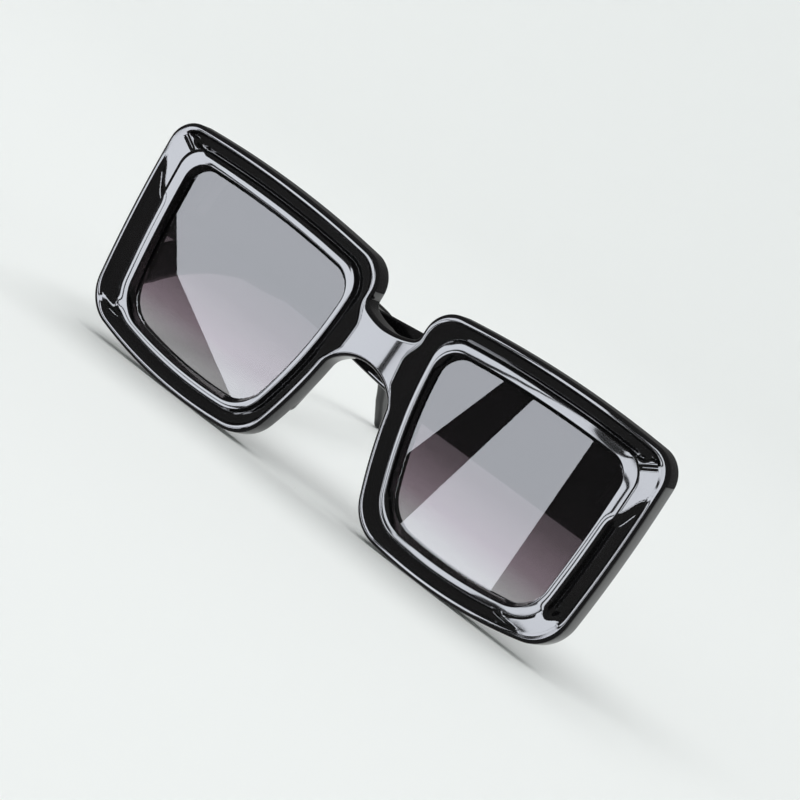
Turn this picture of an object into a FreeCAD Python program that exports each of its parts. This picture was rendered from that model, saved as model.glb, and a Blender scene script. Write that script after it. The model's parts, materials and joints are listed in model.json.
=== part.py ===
"""Oversized square sunglasses with wide temples, in millimetres.

X runs across the front towards the wearer's left, the front faces -Y and Z is up.
Everything is laid out square to the front, with Y = 0 on its highest ridge and heights
from the eye line. It is then stood on its rims and on the tip of the opened temple, with
the origin in the middle of the arch that sits on the nose.
"""
import FreeCAD, Part
import math
import os

Vector = FreeCAD.Vector

# One rim's four corners before rounding, as distances from the middle line and from the eye line
RIM_BOTTOM_INNER = (17.4, -26.4)
RIM_BOTTOM_OUTER = (71.2, -22.6)
RIM_TOP_OUTER = (74.0, 24.8)
RIM_TOP_INNER = (7.9, 23.0)

# How far each side of the rim bows outwards: bottom, outer, top, inner
RIM_BOWS = (3.2, 0.9, 2.0, 3.2)

# Corner radii of the outline: bottom outer, top outer, top inner, bottom inner
RIM_CORNER_RADII = (10.0, 6.5, 7.0, 10.5)
CORNER_TIGHTENING = 0.15

# Rim section, from the outer edge to the lens; widths of four are bottom, outer, top, inner
RIM_DEPTH = 5.4
OUTER_RIDGE_ROUND = 0.8
OUTER_RIDGE_WIDTH = 1.4
TROUGH_WALL_WIDTH = 0.5
TROUGH_WALL_DROP = 0.6
TROUGH_WIDTHS = (2.0, 4.6, 3.5, 3.8)
TROUGH_DROP = 1.7
INNER_RIDGE_STEP = 0.3
INNER_RIDGE_WIDTHS = (2.0, 2.2, 1.3, 1.2)
INNER_RIDGE_DROP = 1.1
BEVEL_WIDTH = 0.9
BEVEL_DROP = 2.2

# Lens and its groove
LENS_THICKNESS = 1.5
LENS_SETBACK = 2.5
GROOVE_DEPTH = 1.0
LENS_CLEARANCE = 0.04

# Bridge: half width and height where its edges end inside the rims, and at the middle
BRIDGE_TOP_END = (12.0, 17.5)
BRIDGE_TOP_MIDDLE = 12.4
BRIDGE_BOTTOM_END = (11.0, -4.5)
BRIDGE_BOTTOM_MIDDLE = 3.6
BRIDGE_TOP_BLEND = 2.0
BRIDGE_BOTTOM_BLEND = 5.0

# Nose pads moulded on the back of the rims
NOSE_PAD_RADIUS = 2.6
NOSE_PAD_TOP = (13.2, -5.0)
NOSE_PAD_BOTTOM = (15.2, -14.0)
NOSE_PAD_SINK = 0.7

# End pieces: pads on the back of the front that the opened temples meet
END_PIECE_HEIGHT = 4.5
END_PIECE_REACH = 1.9
END_PIECE_EDGE = 2.4
END_PIECE_BELOW = 2.5
END_PIECE_ABOVE = 5.5

# Hinges, leaning back at the top so that the opened temples point down from square to the front
HINGE_LEAN_DEG = 7.0
HINGE_INSET = 8.25
HINGE_RISE = 0.5
KNUCKLE_COUNT = 5
KNUCKLE_HEIGHT = 2.0
KNUCKLE_RADIUS = 1.3
KNUCKLE_GAP = 0.05
KNUCKLE_STANDOFF = 0.15
KNUCKLE_WEB = 1.5
LEAF_THICKNESS = 0.9
FRONT_LEAF_MARGIN = 0.4
FRONT_LEAF_REACH = 1.1
TEMPLE_LEAF_START = 0.6
TEMPLE_LEAF_END = 9.6
SCREW_RADIUS = 0.7
SCREW_CLEARANCE = 0.03
SCREW_HEAD_RADIUS = 1.1
SCREW_HEAD_HEIGHT = 0.6
SCREW_SLOT_WIDTH = 0.35
SCREW_SLOT_DEPTH = 0.3

# Rivets that hold the leaves
RIVET_RADIUS = 0.55
RIVET_HEAD_RADIUS = 0.8
RIVET_HEAD_HEIGHT = 0.3
RIVET_BITE = 0.9
RIVET_CLEARANCE = 0.02
RIVET_EDGE = 2.5
FRONT_RIVET_INSET = 1.2
TEMPLE_RIVET_INSET = 2.0

# Temples, drawn opened along Y from the end piece; the root's middle is a height over the eye line
TEMPLE_BUTT_GAP = 0.1
TEMPLE_ROOT_THICKNESS = 4.3
TEMPLE_TIP_THICKNESS = 2.6
TEMPLE_STRAIGHT = 100.0
TEMPLE_MID_HEIGHT = 6.5
TEMPLE_HALF_HEIGHT = 4.1
TEMPLE_TOP_SLOPE_DEG = 6.0
TEMPLE_DROP = 8.0
TEMPLE_BOTTOM_FLAT_END = 50.0
TEMPLE_ROOT_CHAMFER = 4.0
TEMPLE_BEND_RADIUS = 44.0
TEMPLE_BEND_DEG = 50.0
TEMPLE_TIP_LENGTH = 8.0
TEMPLE_TIP_HALF_HEIGHT = 2.8

# Core bars inside the temples
CORE_HEIGHT = 2.0
CORE_THICKNESS = 0.8
CORE_START = 0.5
CORE_END = 95.0
CORE_FACE = 1.9
CORE_DROP = 1.3
CORE_CLEARANCE = 0.03

# The left temple is stored folded against the front, the right one opened
FOLDED_CLEARANCE = 0.35
FOLD_STEP_DEG = 2.0
RIGHT_FOLDED_DEG = 0.0

OVERRUN = 1.0
TOUCHING = 0.001


def side_circle(start, end, bow):
    """Centre and radius of the arc that bows to the right of the line from start to end."""
    along_x = end[0] - start[0]
    along_z = end[1] - start[1]
    chord = math.hypot(along_x, along_z)
    radius = (chord * chord / 4 + bow * bow) / (2 * bow)
    reach = (radius - bow) / chord
    centre = ((start[0] + end[0]) / 2 - along_z * reach, (start[1] + end[1]) / 2 + along_x * reach)
    return centre, radius


RIM_CORNERS = (RIM_BOTTOM_INNER, RIM_BOTTOM_OUTER, RIM_TOP_OUTER, RIM_TOP_INNER)
RIM_SIDES = [side_circle(RIM_CORNERS[i], RIM_CORNERS[(i + 1) % 4], RIM_BOWS[i]) for i in range(4)]


def circle_crossing(centre_a, radius_a, centre_b, radius_b, near):
    """The crossing of two circles that lies nearest to a point."""
    along_x = centre_b[0] - centre_a[0]
    along_z = centre_b[1] - centre_a[1]
    apart = math.hypot(along_x, along_z)
    reach = (apart * apart + radius_a * radius_a - radius_b * radius_b) / (2 * apart)
    rise = math.sqrt(radius_a * radius_a - reach * reach)
    found = []
    for way in (1, -1):
        x = centre_a[0] + (along_x * reach - way * along_z * rise) / apart
        z = centre_a[1] + (along_z * reach + way * along_x * rise) / apart
        found.append((x, z))
    return min(found, key=lambda p: math.hypot(p[0] - near[0], p[1] - near[1]))


def on_circle(centre, radius, towards):
    """The point of a circle in the direction of another point."""
    along_x = towards[0] - centre[0]
    along_z = towards[1] - centre[1]
    scale = radius / math.hypot(along_x, along_z)
    return (centre[0] + along_x * scale, centre[1] + along_z * scale)


def arc_edge(start, middle, end, y):
    points = [Vector(p[0], y, p[1]) for p in (start, middle, end)]
    return Part.Arc(*points).toShape()


def rim_wire(insets, y):
    """The left rim's outline at depth y, each side moved in by its own inset."""
    radii = [RIM_SIDES[i][1] - insets[i] for i in range(4)]
    corners = []
    for i in range(4):
        j = (i + 1) % 4
        round_off = RIM_CORNER_RADII[i] - CORNER_TIGHTENING * (insets[i] + insets[j]) / 2
        middle = circle_crossing(
            RIM_SIDES[i][0], radii[i] - round_off, RIM_SIDES[j][0], radii[j] - round_off, RIM_CORNERS[j]
        )
        first = on_circle(RIM_SIDES[i][0], radii[i], middle)
        last = on_circle(RIM_SIDES[j][0], radii[j], middle)
        corners.append((middle, round_off, first, last))
    edges = []
    for i in range(4):
        start = corners[i - 1][3]
        middle, round_off, first, last = corners[i]
        half_way = ((start[0] + first[0]) / 2, (start[1] + first[1]) / 2)
        edges.append(arc_edge(start, on_circle(RIM_SIDES[i][0], radii[i], half_way), first, y))
        half_way = ((first[0] + last[0]) / 2, (first[1] + last[1]) / 2)
        edges.append(arc_edge(first, on_circle(middle, round_off, half_way), last, y))
    return Part.Wire(edges)


def rim_prism(insets, y_start, y_end):
    return Part.Face(rim_wire(insets, y_start)).extrude(Vector(0, y_end - y_start, 0))


def rim_loft(sections):
    """A solid through several outlines, given as pairs of insets and depth."""
    wires = [rim_wire(insets, y) for insets, y in sections]
    return Part.makeLoft(wires, True, True)


def even(inset):
    return (inset,) * 4


def moved_in(insets, by):
    return tuple(inset + by for inset in insets)


TROUGH_START = OUTER_RIDGE_WIDTH + TROUGH_WALL_WIDTH
TROUGH_EDGE = moved_in(TROUGH_WIDTHS, TROUGH_START)
INNER_RIDGE_OUTER = moved_in(TROUGH_EDGE, INNER_RIDGE_STEP)
INNER_RIDGE_INNER = tuple(map(sum, zip(INNER_RIDGE_OUTER, INNER_RIDGE_WIDTHS)))
OPENING = moved_in(INNER_RIDGE_INNER, BEVEL_WIDTH)
BUTT_Y = RIM_DEPTH + END_PIECE_HEIGHT
HINGE_X = RIM_TOP_OUTER[0] - HINGE_INSET
HINGE_Y = BUTT_Y + KNUCKLE_RADIUS + KNUCKLE_STANDOFF
HINGE_BOTTOM = TEMPLE_MID_HEIGHT + HINGE_RISE
HINGE_TOP = HINGE_BOTTOM + KNUCKLE_COUNT * KNUCKLE_HEIGHT
LEAN_PIVOT = Vector(0, BUTT_Y, (HINGE_BOTTOM + HINGE_TOP) / 2)
TEMPLE_INNER_X = HINGE_X + KNUCKLE_RADIUS + KNUCKLE_STANDOFF
TEMPLE_START_Y = BUTT_Y + TEMPLE_BUTT_GAP
TEMPLE_BOTTOM = TEMPLE_MID_HEIGHT - TEMPLE_DROP
CORE_LEVEL = TEMPLE_MID_HEIGHT - CORE_DROP
END_PIECE_INNER = HINGE_X - END_PIECE_REACH
FRONT_LEAF_INNER = END_PIECE_INNER + FRONT_LEAF_MARGIN
FRONT_LEAF_OUTER = HINGE_X + FRONT_LEAF_REACH
RIVET_LEVELS = (HINGE_BOTTOM + RIVET_EDGE, HINGE_TOP - RIVET_EDGE)


def box(x, y, z):
    """A box from three pairs of lowest and highest values."""
    lengths = [pair[1] - pair[0] for pair in (x, y, z)]
    return Part.makeBox(*lengths, Vector(x[0], y[0], z[0]))


def mirrored(shape):
    return shape.mirror(Vector(0, 0, 0), Vector(1, 0, 0))


def leaned(shape):
    """A piece of the hinge or temple, drawn square to the front and leaned back with the hinge."""
    turned = shape.copy()
    turned.rotate(LEAN_PIVOT, Vector(1, 0, 0), -HINGE_LEAN_DEG)
    return turned


def bridge_blank():
    """The bridge, as deep as the rims: its top edge dips and its lower edge arches over the nose."""
    top_x, top_z = BRIDGE_TOP_END
    bottom_x, bottom_z = BRIDGE_BOTTOM_END
    top = arc_edge((-top_x, top_z), (0, BRIDGE_TOP_MIDDLE), (top_x, top_z), 0)
    bottom = arc_edge((-bottom_x, bottom_z), (0, BRIDGE_BOTTOM_MIDDLE), (bottom_x, bottom_z), 0)
    left = Part.makeLine(Vector(top_x, 0, top_z), Vector(bottom_x, 0, bottom_z))
    right = Part.makeLine(Vector(-top_x, 0, top_z), Vector(-bottom_x, 0, bottom_z))
    return Part.Face(Part.Wire([top, left, bottom, right])).extrude(Vector(0, RIM_DEPTH, 0))


def front_blank():
    """Both rims and the bridge in one piece, with the front edge rounded."""
    rim = rim_prism(even(0), 0, RIM_DEPTH)
    blank = rim.fuse([mirrored(rim), bridge_blank()]).removeSplitter()
    edges = (
        (BRIDGE_TOP_END, BRIDGE_TOP_MIDDLE, BRIDGE_TOP_BLEND),
        (BRIDGE_BOTTOM_END, BRIDGE_BOTTOM_MIDDLE, BRIDGE_BOTTOM_BLEND),
    )
    for end, middle, blend in edges:
        joins = [edge for edge in blank.Edges if is_bridge_join(edge, end, middle)]
        blank = blank.makeFillet(blend, joins)
    front_edges = [edge for edge in blank.Edges if abs(edge.BoundBox.YMax) < TOUCHING]
    return blank.makeFillet(OUTER_RIDGE_ROUND, front_edges)


def is_bridge_join(edge, end, middle):
    """Whether an edge runs front to back where one of the bridge's edges meets a rim."""
    points = [vertex.Point for vertex in edge.Vertexes]
    if len(points) != 2 or abs(abs(points[0].y - points[1].y) - edge.Length) > TOUCHING:
        return False
    rise = end[1] - middle
    radius = (end[0] ** 2 + rise ** 2) / (2 * abs(rise))
    centre_z = middle + math.copysign(radius, rise)
    return abs(math.hypot(points[0].x, points[0].z - centre_z) - radius) < TOUCHING


def carve_rim(front):
    """Cut the left rim's trough and lens opening, leaving the raised inner ridge."""
    wall_slope = TROUGH_WALL_WIDTH / TROUGH_WALL_DROP
    trough = rim_loft([
        (even(OUTER_RIDGE_WIDTH - wall_slope * OVERRUN), -OVERRUN),
        (even(TROUGH_START), TROUGH_WALL_DROP),
        (TROUGH_EDGE, TROUGH_DROP),
    ])
    ridge = rim_prism(INNER_RIDGE_OUTER, INNER_RIDGE_DROP, RIM_DEPTH)
    bevel_slope = BEVEL_WIDTH / (BEVEL_DROP - INNER_RIDGE_DROP)
    bevel = rim_loft([
        (moved_in(INNER_RIDGE_INNER, -bevel_slope * OVERRUN), INNER_RIDGE_DROP - OVERRUN),
        (OPENING, BEVEL_DROP),
    ])
    opening = rim_prism(OPENING, BEVEL_DROP - OVERRUN / 2, RIM_DEPTH + OVERRUN)
    groove = rim_prism(moved_in(OPENING, -GROOVE_DEPTH), LENS_SETBACK, LENS_SETBACK + LENS_THICKNESS)
    return front.cut(trough).fuse(ridge).cut(bevel.fuse(opening)).cut(groove)


def lens():
    edge = moved_in(OPENING, LENS_CLEARANCE - GROOVE_DEPTH)
    back = LENS_SETBACK + LENS_THICKNESS - LENS_CLEARANCE
    return rim_prism(edge, LENS_SETBACK + LENS_CLEARANCE, back)


def nose_pad():
    """A rounded pad along the rim's inner edge."""
    y = RIM_DEPTH - NOSE_PAD_SINK
    top = Vector(NOSE_PAD_TOP[0], y, NOSE_PAD_TOP[1])
    bottom = Vector(NOSE_PAD_BOTTOM[0], y, NOSE_PAD_BOTTOM[1])
    run = bottom - top
    pad = Part.makeCylinder(NOSE_PAD_RADIUS, run.Length, top, run)
    return pad.fuse([Part.makeSphere(NOSE_PAD_RADIUS, end) for end in (top, bottom)])


def end_piece():
    """The pad on the back of the left rim that carries the hinge and stops the opened temple."""
    pad = rim_prism(even(END_PIECE_EDGE), RIM_DEPTH - OVERRUN, BUTT_Y + END_PIECE_HEIGHT)
    far = RIM_TOP_OUTER[0] + OVERRUN
    levels = (HINGE_BOTTOM - END_PIECE_BELOW, HINGE_TOP + END_PIECE_ABOVE)
    behind = box((0, far), (BUTT_Y, BUTT_Y + 2 * END_PIECE_HEIGHT), (RIM_BOTTOM_INNER[1], RIM_TOP_OUTER[1]))
    within = box((END_PIECE_INNER, far), (0, BUTT_Y + END_PIECE_HEIGHT), levels)
    return pad.common(within).cut(leaned(behind))


def rivet(at, way, clearance=0.0):
    """A flush-headed rivet that runs the given way from its face, or with a clearance its hole."""
    radius = RIVET_RADIUS + clearance
    shank = Part.makeCylinder(radius, LEAF_THICKNESS + RIVET_BITE + clearance, at, way)
    head = Part.makeCone(RIVET_HEAD_RADIUS + clearance, radius, RIVET_HEAD_HEIGHT, at, way)
    return shank.fuse(head)


def rivet_hole(at, way):
    return rivet(at, way, RIVET_CLEARANCE)


def front_rivet_places():
    x = FRONT_LEAF_INNER + FRONT_RIVET_INSET
    return [Vector(x, BUTT_Y, z) for z in RIVET_LEVELS]


def temple_rivet_places():
    y = TEMPLE_START_Y + TEMPLE_LEAF_END - TEMPLE_RIVET_INSET
    return [Vector(TEMPLE_INNER_X, y, z) for z in RIVET_LEVELS]


FRONT_RIVET_WAY = Vector(0, -1, 0)
TEMPLE_RIVET_WAY = Vector(1, 0, 0)


def front_leaf_plate():
    return box(
        (FRONT_LEAF_INNER, FRONT_LEAF_OUTER), (BUTT_Y - LEAF_THICKNESS, BUTT_Y), (HINGE_BOTTOM, HINGE_TOP)
    )


def temple_leaf_plate():
    return box(
        (TEMPLE_INNER_X, TEMPLE_INNER_X + LEAF_THICKNESS),
        (TEMPLE_START_Y + TEMPLE_LEAF_START, TEMPLE_START_Y + TEMPLE_LEAF_END),
        (HINGE_BOTTOM, HINGE_TOP),
    )


def hinge_bore():
    height = HINGE_TOP - HINGE_BOTTOM + 2 * OVERRUN
    base = Vector(HINGE_X, HINGE_Y, HINGE_BOTTOM - OVERRUN)
    return Part.makeCylinder(SCREW_RADIUS + SCREW_CLEARANCE, height, base)


def knuckles(indexes, web_x, web_y):
    """Hinge knuckles with the webs that join them to their leaf."""
    solids = []
    for index in indexes:
        low = HINGE_BOTTOM + index * KNUCKLE_HEIGHT + KNUCKLE_GAP
        high = HINGE_BOTTOM + (index + 1) * KNUCKLE_HEIGHT - KNUCKLE_GAP
        barrel = Part.makeCylinder(KNUCKLE_RADIUS, high - low, Vector(HINGE_X, HINGE_Y, low))
        solids.append(barrel.fuse(box(web_x, web_y, (low, high))))
    return solids


def front_hinge_leaf():
    """The fixed leaf, sunk in the end piece, with every other knuckle."""
    half = KNUCKLE_WEB / 2
    barrels = knuckles(
        range(0, KNUCKLE_COUNT, 2), (HINGE_X - half, HINGE_X + half), (BUTT_Y - LEAF_THICKNESS / 2, HINGE_Y)
    )
    leaf = front_leaf_plate().fuse(barrels).cut(hinge_bore())
    holes = [rivet_hole(at, FRONT_RIVET_WAY) for at in front_rivet_places()]
    return leaf.cut(holes).removeSplitter()


def temple_hinge_leaf():
    """The swinging leaf, sunk in the temple's inner face, with the knuckles between."""
    start = TEMPLE_START_Y + TEMPLE_LEAF_START
    barrels = knuckles(
        range(1, KNUCKLE_COUNT, 2),
        (HINGE_X, TEMPLE_INNER_X + LEAF_THICKNESS / 2),
        (start, start + KNUCKLE_WEB),
    )
    leaf = temple_leaf_plate().fuse(barrels).cut(hinge_bore())
    holes = [rivet_hole(at, TEMPLE_RIVET_WAY) for at in temple_rivet_places()]
    return leaf.cut(holes).removeSplitter()


def hinge_screw():
    """The slotted screw that is the hinge's pin."""
    base = Vector(HINGE_X, HINGE_Y, HINGE_BOTTOM)
    shank = Part.makeCylinder(SCREW_RADIUS, HINGE_TOP - HINGE_BOTTOM, base)
    seat = Vector(HINGE_X, HINGE_Y, HINGE_TOP)
    head = Part.makeCylinder(SCREW_HEAD_RADIUS, SCREW_HEAD_HEIGHT, seat)
    top = HINGE_TOP + SCREW_HEAD_HEIGHT
    slot = box(
        (HINGE_X - SCREW_HEAD_RADIUS, HINGE_X + SCREW_HEAD_RADIUS),
        (HINGE_Y - SCREW_SLOT_WIDTH / 2, HINGE_Y + SCREW_SLOT_WIDTH / 2),
        (top - SCREW_SLOT_DEPTH, top),
    )
    return shank.fuse(head).cut(slot)


def temple_side():
    """The temple's side view as a face in the plane X = 0, with the arm along Y."""
    centre_z = TEMPLE_MID_HEIGHT - TEMPLE_BEND_RADIUS
    outer = TEMPLE_BEND_RADIUS + TEMPLE_HALF_HEIGHT
    inner = TEMPLE_BEND_RADIUS - TEMPLE_HALF_HEIGHT

    def place(along, up):
        return Vector(0, TEMPLE_START_Y + along, up)

    def on_bend(radius, degrees):
        turn = math.radians(degrees)
        return place(TEMPLE_STRAIGHT + radius * math.sin(turn), centre_z + radius * math.cos(turn))

    def past_bend(along, across):
        turn = math.radians(TEMPLE_BEND_DEG)
        ahead = Vector(0, math.cos(turn), -math.sin(turn))
        aside = Vector(0, math.sin(turn), math.cos(turn))
        return on_bend(TEMPLE_BEND_RADIUS, TEMPLE_BEND_DEG) + ahead * along + aside * across

    slope = math.radians(TEMPLE_TOP_SLOPE_DEG)
    top_start = on_bend(outer, TEMPLE_TOP_SLOPE_DEG)
    root_top = top_start.z + (top_start.y - TEMPLE_START_Y) * math.tan(slope)
    tip_top = past_bend(TEMPLE_TIP_LENGTH, TEMPLE_TIP_HALF_HEIGHT)
    tip_end = past_bend(TEMPLE_TIP_LENGTH + TEMPLE_TIP_HALF_HEIGHT, 0)
    tip_bottom = past_bend(TEMPLE_TIP_LENGTH, -TEMPLE_TIP_HALF_HEIGHT)
    flat_end = place(TEMPLE_BOTTOM_FLAT_END, TEMPLE_BOTTOM)
    bend_bottom = on_bend(inner, 0)
    rise = bend_bottom.z - flat_end.z
    half_run = (bend_bottom.y - flat_end.y) / 2
    halfway = (flat_end + bend_bottom) * 0.5
    ease = rise / 8 - rise ** 3 / (32 * half_run * half_run)
    low_quarter = flat_end + Vector(0, half_run / 2, ease)
    high_quarter = bend_bottom - Vector(0, half_run / 2, ease)
    chamfer_end = place(TEMPLE_ROOT_CHAMFER, TEMPLE_BOTTOM)
    chamfer_start = place(0, TEMPLE_BOTTOM + TEMPLE_ROOT_CHAMFER)
    middle = (TEMPLE_TOP_SLOPE_DEG + TEMPLE_BEND_DEG) / 2
    edges = [
        Part.makeLine(place(0, root_top), top_start),
        Part.Arc(top_start, on_bend(outer, middle), on_bend(outer, TEMPLE_BEND_DEG)).toShape(),
        Part.makeLine(on_bend(outer, TEMPLE_BEND_DEG), tip_top),
        Part.Arc(tip_top, tip_end, tip_bottom).toShape(),
        Part.makeLine(tip_bottom, on_bend(inner, TEMPLE_BEND_DEG)),
        Part.Arc(on_bend(inner, TEMPLE_BEND_DEG), on_bend(inner, TEMPLE_BEND_DEG / 2), bend_bottom).toShape(),
        Part.Arc(bend_bottom, high_quarter, halfway).toShape(),
        Part.Arc(halfway, low_quarter, flat_end).toShape(),
        Part.makeLine(flat_end, chamfer_end),
        Part.makeLine(chamfer_end, chamfer_start),
        Part.makeLine(chamfer_start, place(0, root_top)),
    ]
    return Part.Face(Part.Wire(edges))


def temple_blank():
    """The side view at full thickness, thinned towards the tip on its outer face."""
    side = temple_side()
    side.translate(Vector(TEMPLE_INNER_X, 0, 0))
    arm = side.extrude(Vector(TEMPLE_ROOT_THICKNESS, 0, 0))
    bounds = arm.BoundBox
    outer_x = TEMPLE_INNER_X + TEMPLE_ROOT_THICKNESS
    thin_x = TEMPLE_INNER_X + TEMPLE_TIP_THICKNESS
    low = bounds.ZMin - OVERRUN
    plan = [
        Vector(outer_x, bounds.YMin, low),
        Vector(outer_x + OVERRUN, bounds.YMin, low),
        Vector(outer_x + OVERRUN, bounds.YMax, low),
        Vector(thin_x, bounds.YMax, low),
    ]
    wedge = Part.Face(Part.makePolygon(plan + plan[:1])).extrude(Vector(0, 0, bounds.ZLength + 2 * OVERRUN))
    return arm.cut(wedge)


def core_bar(clearance):
    """The flat metal bar that stiffens the temple, or with a clearance its slot."""
    x = TEMPLE_INNER_X + CORE_FACE
    start = TEMPLE_START_Y + (CORE_START if clearance == 0 else -OVERRUN)
    return box(
        (x - clearance, x + CORE_THICKNESS + clearance),
        (start, TEMPLE_START_Y + CORE_END + clearance),
        (CORE_LEVEL - clearance, CORE_LEVEL + CORE_HEIGHT + clearance),
    )


def temple():
    """The temple with the leaf's pocket, the rivet holes and the core's slot."""
    holes = [rivet_hole(at, TEMPLE_RIVET_WAY) for at in temple_rivet_places()]
    return temple_blank().cut([temple_leaf_plate(), core_bar(CORE_CLEARANCE)] + holes)


def front_frame():
    """The moulded front: rims, bridge, nose pads and end pieces."""
    front = front_blank()
    front = mirrored(carve_rim(mirrored(carve_rim(front))))
    for part in (nose_pad(), end_piece()):
        front = front.fuse([part, mirrored(part)])
    holes = [rivet_hole(at, FRONT_RIVET_WAY) for at in front_rivet_places()]
    pockets = [leaned(cutter) for cutter in [front_leaf_plate()] + holes]
    return front.cut(pockets + [mirrored(pocket) for pocket in pockets]).removeSplitter()


def fold(shape, degrees):
    """Turn a left-hand piece inwards about the hinge's axis, before the hinge is leaned."""
    folded = shape.copy()
    folded.rotate(Vector(HINGE_X, HINGE_Y, 0), Vector(0, 0, 1), degrees)
    return folded


def side_pieces(folded_deg):
    """One side's lens, hinge and temple, drawn on the left."""
    front_rivets = [rivet(at, FRONT_RIVET_WAY) for at in front_rivet_places()]
    temple_rivets = [rivet(at, TEMPLE_RIVET_WAY) for at in temple_rivet_places()]
    swinging = {
        "temple": temple(),
        "temple_core": core_bar(0),
        "temple_hinge_leaf": temple_hinge_leaf(),
        "temple_rivets": Part.makeCompound(temple_rivets),
    }
    hinge = {
        "front_hinge_leaf": front_hinge_leaf(),
        "front_rivets": Part.makeCompound(front_rivets),
        "hinge_screw": hinge_screw(),
    }
    hinge.update({name: fold(shape, folded_deg) for name, shape in swinging.items()})
    pieces = {name: leaned(shape) for name, shape in hinge.items()}
    pieces["lens"] = lens()
    return pieces


def folded_flat_deg():
    """How far a temple turns until its tip, which leans forward with the hinge, lies behind the front."""
    side = temple_side().BoundBox
    lean = math.radians(HINGE_LEAN_DEG)
    setback = (HINGE_Y - BUTT_Y + TEMPLE_INNER_X - HINGE_X) * math.cos(lean)
    tip_lean = (side.ZMin - LEAN_PIVOT.z) * math.sin(lean)
    room = END_PIECE_HEIGHT + setback + tip_lean - FOLDED_CLEARANCE
    reach = (side.YMax - HINGE_Y) * math.cos(lean)
    return 90 + math.degrees(math.asin(room / reach))


def stored_fold_deg():
    """How far the left temple is folded: flat, or eased open until it clears the opened right side."""
    degrees = folded_flat_deg()
    arm = temple_blank()
    opened = side_pieces(RIGHT_FOLDED_DEG)
    other_side = Part.makeCompound([
        mirrored(opened[name]) for name in ("temple", "front_hinge_leaf", "temple_hinge_leaf", "hinge_screw")
    ])
    while leaned(fold(arm, degrees)).distToShape(other_side)[0] < FOLDED_CLEARANCE:
        degrees -= FOLD_STEP_DEG
    return degrees


def stance():
    """The placement that levels the rims with the opened temple's tip, about the nose arch."""
    turn = math.radians(TEMPLE_BEND_DEG)
    rim_low = rim_wire(even(0), 0).BoundBox.ZMin
    rim = Vector(0, OUTER_RIDGE_ROUND, rim_low + OUTER_RIDGE_ROUND)
    tip_y = TEMPLE_STRAIGHT + TEMPLE_BEND_RADIUS * math.sin(turn) + TEMPLE_TIP_LENGTH * math.cos(turn)
    tip_z = TEMPLE_BEND_RADIUS * (1 - math.cos(turn)) + TEMPLE_TIP_LENGTH * math.sin(turn)
    tip = Part.Vertex(0, TEMPLE_START_Y + tip_y, TEMPLE_MID_HEIGHT - tip_z)
    run = leaned(tip).Point - rim
    level = math.asin((TEMPLE_TIP_HALF_HEIGHT - OUTER_RIDGE_ROUND) / run.Length) - math.atan2(run.z, run.y)
    turned = FreeCAD.Rotation(Vector(1, 0, 0), math.degrees(level))
    arch = Vector(0, RIM_DEPTH / 2, BRIDGE_BOTTOM_MIDDLE)
    return FreeCAD.Placement(turned.multVec(arch * -1), turned)


def sunglasses(folded_deg):
    nodes = {"front_frame": front_frame()}
    for name, shape in side_pieces(folded_deg).items():
        nodes[name + "_left"] = shape
    for name, shape in side_pieces(RIGHT_FOLDED_DEG).items():
        nodes[name + "_right"] = mirrored(shape)
    return nodes


def main():
    os.makedirs("parts", exist_ok=True)
    stand = stance()
    folded_deg = stored_fold_deg()
    for name, shape in sunglasses(folded_deg).items():
        placed = shape.transformed(stand.toMatrix())
        placed.exportStep("parts/" + name + ".step")
        print(name, placed.isValid(), len(placed.Solids), round(placed.Volume, 2))
    ends = [Part.Vertex(HINGE_X, HINGE_Y, z) for z in (HINGE_BOTTOM, HINGE_TOP)]
    low, high = [stand.multVec(leaned(end).Point) for end in ends]
    print("left hinge axis from", low, "to", high, "folded by", folded_deg)
    print("layout turned by", stand.Rotation.Angle, "and moved by", stand.Base)


main()
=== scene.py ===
"""Oversized square sunglasses: the looks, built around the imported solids.

Shapes are drawn in millimetres in the layout of the solids, which is square to the front: X runs
across it, the front faces -Y with Y = 0 on its outer ridges, and Z is height over the eye line.
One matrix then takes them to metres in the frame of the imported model.
"""

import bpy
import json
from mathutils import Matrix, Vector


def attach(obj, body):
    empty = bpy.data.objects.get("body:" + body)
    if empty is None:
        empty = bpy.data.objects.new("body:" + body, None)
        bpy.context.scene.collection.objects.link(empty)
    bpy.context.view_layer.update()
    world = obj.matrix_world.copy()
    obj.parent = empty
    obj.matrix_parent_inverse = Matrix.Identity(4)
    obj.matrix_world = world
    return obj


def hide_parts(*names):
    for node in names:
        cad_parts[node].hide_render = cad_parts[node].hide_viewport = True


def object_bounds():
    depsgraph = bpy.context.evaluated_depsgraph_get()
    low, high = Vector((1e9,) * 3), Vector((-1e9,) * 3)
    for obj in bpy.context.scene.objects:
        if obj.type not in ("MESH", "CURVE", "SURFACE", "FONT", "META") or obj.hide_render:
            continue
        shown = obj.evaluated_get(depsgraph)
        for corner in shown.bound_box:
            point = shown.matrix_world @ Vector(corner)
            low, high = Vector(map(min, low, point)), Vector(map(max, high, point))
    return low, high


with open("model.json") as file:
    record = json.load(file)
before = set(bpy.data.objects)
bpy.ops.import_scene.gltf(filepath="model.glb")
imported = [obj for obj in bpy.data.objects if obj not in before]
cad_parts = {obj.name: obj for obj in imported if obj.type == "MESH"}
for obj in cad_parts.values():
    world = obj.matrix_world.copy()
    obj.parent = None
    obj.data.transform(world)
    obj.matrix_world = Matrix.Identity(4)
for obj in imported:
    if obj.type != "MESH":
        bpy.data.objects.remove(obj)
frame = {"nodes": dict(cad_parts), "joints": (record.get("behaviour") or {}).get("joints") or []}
CAD_BOX = [list(corner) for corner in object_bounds()]

import json
import math

import bmesh
import bpy
from mathutils import Matrix, Vector

MM = 0.001

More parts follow.
